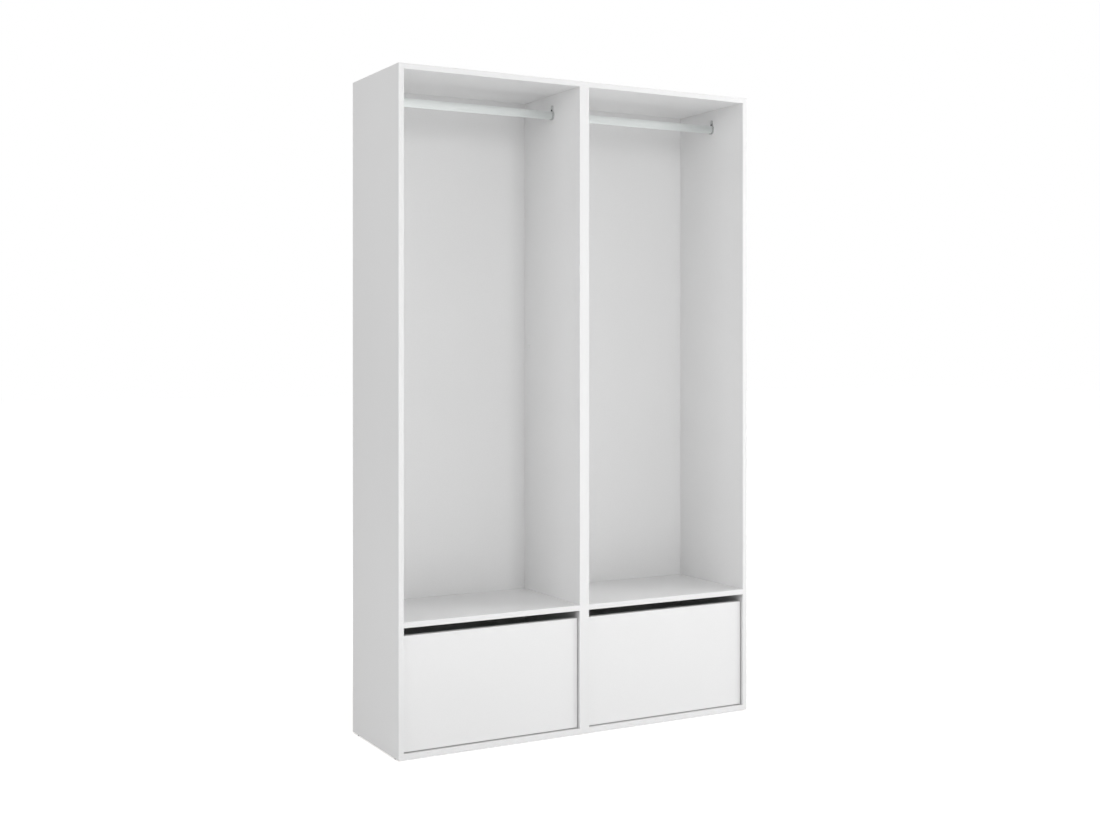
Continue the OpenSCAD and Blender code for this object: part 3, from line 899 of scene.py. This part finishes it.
@dataclass
class Drawer:
    """One drawer: its front, box, moving runners and fittings."""

    name: str
    around: tuple[Side, ...] = (Side.LEFT, Side.RIGHT, Side.UNDER, Side.UPPER)
    ends: tuple[Side, Side] = (Side.LEFT, Side.RIGHT)
    depths: tuple[Side, Side] = (Side.FRONT, Side.REAR)

    def build(self, shop: Workshop, finishes: Finishes) -> None:
        """Builds the drawer's pieces.

        Args:
            shop: The workshop that makes the pieces.
            finishes: The finishes.
        """
        runners = Runners(self.name)
        Board(f"{self.name}_front", self.depths, list(self.around)).build(shop, finishes)
        for hand in ("left", "right"):
            Board(f"{self.name}_side_{hand}", self.ends,
                  [Side.UPPER, Side.REAR]).build(shop, finishes)
            runners.build_one(hand, shop, finishes)
        Board(f"{self.name}_back", self.depths, [Side.UPPER]).build(shop, finishes)
        ThinBoard(f"{self.name}_base", Side.UPPER).build(shop, finishes)
        runners.build_rollers(shop, finishes)
        for part, material in (("runner_screws", finishes.zinc), ("cam_locks", finishes.cast),
                               ("box_screws", finishes.zinc)):
            node = f"{self.name}_{part}"
            shop.softened(node, f"{node}_set", SCREW_ROUND, material)
        for part, material in (("cam_bolts", finishes.zinc), ("dowels", finishes.beech),
                               ("nails", finishes.zinc)):
            shop.dress(f"{self.name}_{part}", material)


@dataclass
class Fittings:
    """The small parts that both carcasses share, each by its node, finish and rounds."""

    softened: dict[str, tuple[str, float]] = field(default_factory=lambda: {
        "cam_locks": ("cast", 0.15 * MM),
        "back_nails": ("zinc", SCREW_ROUND),
        "runner_screws": ("zinc", SCREW_ROUND),
        "joining_sleeves": ("white_plastic", 0.4 * MM),
        "joining_screws": ("white_plastic", 0.4 * MM),
        "glides": ("glide", 0.2 * MM),
    })
    plain: dict[str, str] = field(default_factory=lambda: {"cam_bolts": "zinc", "dowels": "beech"})
    support_round: float = 0.35 * MM
    # A cup's rim lies this far from the rail's end, and the painted shade on it, a near-black
    # finish that stands in for the shadowed gap round the rail, goes this deep.
    cup_reach: float = 3.0 * MM
    rim_shade_depth: float = 0.15 * MM

    def cup_rims(self) -> list[float]:
        """Where along X the rims of the rail supports' cups lie, a bit in from each rail's ends.

        Returns:
            The places of the four rims.
        """
        rims = []
        for bay in ("left_bay", "right_bay"):
            low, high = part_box(f"{bay}_rail")
            rims += [low.x + self.cup_reach, high.x - self.cup_reach]
        return rims

    def build_rail_fittings(self, shop: Workshop, finishes: Finishes) -> None:
        """Builds the supports with painted shade on their rims, and their screws, of which the
        lower ones are dark as painted shade just above the rail.

        Args:
            shop: The workshop that makes the pieces.
            finishes: The finishes.
        """
        low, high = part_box("rail_screws")
        middle, rims = (low.z + high.z) / 2, self.cup_rims()
        # The lower screws get the near-black finish as painted shade just above the rail, and the
        # upper ones get the supports' finish.
        shop.two_tone("rail_screws", SCREW_ROUND, finishes.painted_shade_steel, finishes.support,
                      lambda point: point.z > middle)
        # The faces at the cups' rims get the near-black finish, as painted shade for the shadowed
        # gap round the rail.
        shop.two_tone("rail_supports", self.support_round, finishes.support, finishes.painted_shade_steel,
                      lambda point: any(abs(point.x - rim) < self.rim_shade_depth for rim in rims))

    def build(self, shop: Workshop, finishes: Finishes) -> None:
        """Builds the fittings.

        Args:
            shop: The workshop that makes the pieces.
            finishes: The finishes.
        """
        self.build_rail_fittings(shop, finishes)
        for node, (finish, width) in self.softened.items():
            shop.softened(node, f"{node}_set", width, getattr(finishes, finish))
        for node, finish in self.plain.items():
            shop.dress(node, getattr(finishes, finish))


@dataclass
class Softbox:
    """A square studio light that faces a point."""

    name: str
    place: Point
    target: Point
    size: float
    watts: float

    def build(self) -> bpy.types.Object:
        """Builds the light and returns it."""
        data = bpy.data.lights.new(self.name, "AREA")
        data.shape = "SQUARE"
        data.size = self.size
        data.energy = self.watts
        light = bpy.data.objects.new(self.name, data)
        light.location = self.place
        way = Vector(self.target) - Vector(self.place)
        light.rotation_euler = way.to_track_quat("-Z", "Y").to_euler()
        light.visible_camera = False
        bpy.context.scene.collection.objects.link(light)
        log.info("%s: %.0f W", self.name, self.watts)
        return light


@dataclass
class PhotoCamera:
    """The camera, level and shifted, where the photograph was taken."""

    place: Point = (-2.15993, -3.85322, 1.14614)
    turn: float = math.radians(-28.555)
    lens: float = 46.70
    sensor_width: float = 36.0
    shift: tuple[float, float] = (0.0113, -0.0557)

    def build(self) -> bpy.types.Object:
        """Places the camera and returns it."""
        data = bpy.data.cameras.new("photo_camera")
        data.sensor_width = self.sensor_width
        data.lens = self.lens
        data.shift_x, data.shift_y = self.shift
        camera = bpy.data.objects.new("photo_camera", data)
        camera.location = self.place
        camera.rotation_euler = (math.radians(90), 0.0, self.turn)
        bpy.context.scene.collection.objects.link(camera)
        bpy.context.scene.camera = camera
        return camera


@dataclass
class Backdrop:
    """What is round the wardrobe: white where it is seen, and a plain level of diffuse light."""

    light_level: float = 0.53
    dark_band: tuple[float, float] = (7.0, 14.0)
    floor_colour: float = 0.80
    floor_glow: float = 0.61
    floor_size: float = 60.0

    def seen_directly(self, nodes: bpy.types.Nodes, links: bpy.types.NodeLinks) -> Socket:
        """Adds a value of 1 for what is seen directly, in any gloss or through glass.

        Args:
            nodes: The nodes of a material or of the world.
            links: Their links.

        Returns:
            The value, 0 for all other light.
        """
        path = nodes.new("ShaderNodeLightPath")
        last = path.outputs["Is Camera Ray"]
        for name in ("Is Glossy Ray", "Is Transmission Ray"):
            total = nodes.new("ShaderNodeMath")
            total.operation = "MAXIMUM"
            links.new(last, total.inputs[0])
            links.new(path.outputs[name], total.inputs[1])
            last = total.outputs[0]
        return last

    def all_but_band(self, nodes: bpy.types.Nodes, links: bpy.types.NodeLinks) -> Socket:
        """Adds white all round, but black in a low band that would shine into the finger gaps.

        Args:
            nodes: The world's nodes.
            links: Their links.

        Returns:
            The colour.
        """
        place, parts = nodes.new("ShaderNodeTexCoord"), nodes.new("ShaderNodeSeparateXYZ")
        ramp = nodes.new("ShaderNodeValToRGB")
        ramp.color_ramp.interpolation = "CONSTANT"
        ramp.color_ramp.elements.new(0.5)
        low, high = (math.sin(math.radians(angle)) for angle in self.dark_band)
        bands = ((0.0, 1.0), (low, 0.0), (high, 1.0))
        for element, (height, tone) in zip(ramp.color_ramp.elements, bands):
            element.position = height
            element.color = (tone, tone, tone, 1.0)
        links.new(place.outputs["Generated"], parts.inputs[0])
        links.new(parts.outputs["Z"], ramp.inputs["Fac"])
        return ramp.outputs["Color"]

    def surroundings(self) -> None:
        """Makes the white background, whose diffuse light has the light level."""
        world = bpy.data.worlds.new("studio")
        bpy.context.scene.world = world
        world.use_nodes = True
        nodes, links = world.node_tree.nodes, world.node_tree.links
        nodes.clear()
        lit, seen = nodes.new("ShaderNodeBackground"), nodes.new("ShaderNodeBackground")
        links.new(self.all_but_band(nodes, links), lit.inputs["Color"])
        lit.inputs["Strength"].default_value = self.light_level
        seen.inputs["Color"].default_value = (*CLEAR, 1.0)
        seen.inputs["Strength"].default_value = 1.0
        mix, out = nodes.new("ShaderNodeMixShader"), nodes.new("ShaderNodeOutputWorld")
        links.new(self.seen_directly(nodes, links), mix.inputs[0])
        links.new(lit.outputs[0], mix.inputs[1])
        links.new(seen.outputs[0], mix.inputs[2])
        links.new(mix.outputs[0], out.inputs["Surface"])

    def paper(self) -> bpy.types.Material:
        """Makes the floor's material, with a glow where it is seen directly, or in any gloss.

        Returns:
            The material.
        """
        material = bpy.data.materials.new("floor_paper")
        material.use_nodes = True
        nodes, links = material.node_tree.nodes, material.node_tree.links
        nodes.clear()
        paper, glow = nodes.new("ShaderNodeBsdfDiffuse"), nodes.new("ShaderNodeEmission")
        paper.inputs["Color"].default_value = (*[self.floor_colour] * 3, 1.0)
        glow.inputs["Color"].default_value = (*CLEAR, 1.0)
        glow.inputs["Strength"].default_value = self.floor_glow
        both, mix = nodes.new("ShaderNodeAddShader"), nodes.new("ShaderNodeMixShader")
        out = nodes.new("ShaderNodeOutputMaterial")
        links.new(paper.outputs[0], both.inputs[0])
        links.new(glow.outputs[0], both.inputs[1])
        links.new(self.seen_directly(nodes, links), mix.inputs[0])
        links.new(paper.outputs[0], mix.inputs[1])
        links.new(both.outputs[0], mix.inputs[2])
        links.new(mix.outputs[0], out.inputs["Surface"])
        return material

    def floor(self) -> bpy.types.Object:
        """Makes the floor, which looks white but keeps the object's shadow.

        Returns:
            The floor.
        """
        mesh = bmesh.new()
        bmesh.ops.create_grid(mesh, x_segments=8, y_segments=8, size=self.floor_size / 2)
        data = bpy.data.meshes.new("floor")
        mesh.to_mesh(data)
        mesh.free()
        obj = bpy.data.objects.new("floor", data)
        bpy.context.scene.collection.objects.link(obj)
        data.materials.append(self.paper())
        return obj

    def build(self) -> None:
        """Builds the surroundings and the floor."""
        self.surroundings()
        self.floor()


@dataclass
class Studio:
    """The camera, the backdrop and the soft lights."""

    camera: PhotoCamera = field(default_factory=PhotoCamera)
    backdrop: Backdrop = field(default_factory=Backdrop)
    lights: list[Softbox] = field(default_factory=lambda: [
        Softbox("right_light", (4.6, -2.6, 2.3), (0.0, 0.0, 1.0), 2.4, 125.0),
        Softbox("left_light", (-4.6, -2.0, 2.4), (0.0, 0.0, 1.0), 2.4, 55.0),
        Softbox("high_light", (0.0, -5.5, 3.0), (0.0, 0.0, 1.0), 2.0, 46.0),
        Softbox("low_light", (0.3, -4.6, 0.5), (0.0, 0.0, 0.8), 0.9, 15.0),
        Softbox("floor_light", (0.0, -1.9, 0.04), (0.0, -1.9, 2.0), 2.0, 7.5),
    ])

    def build(self) -> None:
        """Builds the studio."""
        bpy.context.scene.view_settings.view_transform = "Standard"
        self.camera.build()
        self.backdrop.build()
        for light in self.lights:
            light.build()


def write_sizes() -> None:
    """Updates the view layer."""
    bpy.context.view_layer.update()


def main() -> None:
    """Builds the wardrobe and its studio."""
    finishes = Finishes()
    shop = Workshop()
    for part in (Bay("left_bay", "outer_side", "inner_side"),
                 Bay("right_bay", "inner_side", "outer_side"),
                 Drawer("left_drawer"), Drawer("right_drawer"), Fittings()):
        part.build(shop, finishes)
    Studio().build()
    write_sizes()


if __name__ == "__main__":
    main()
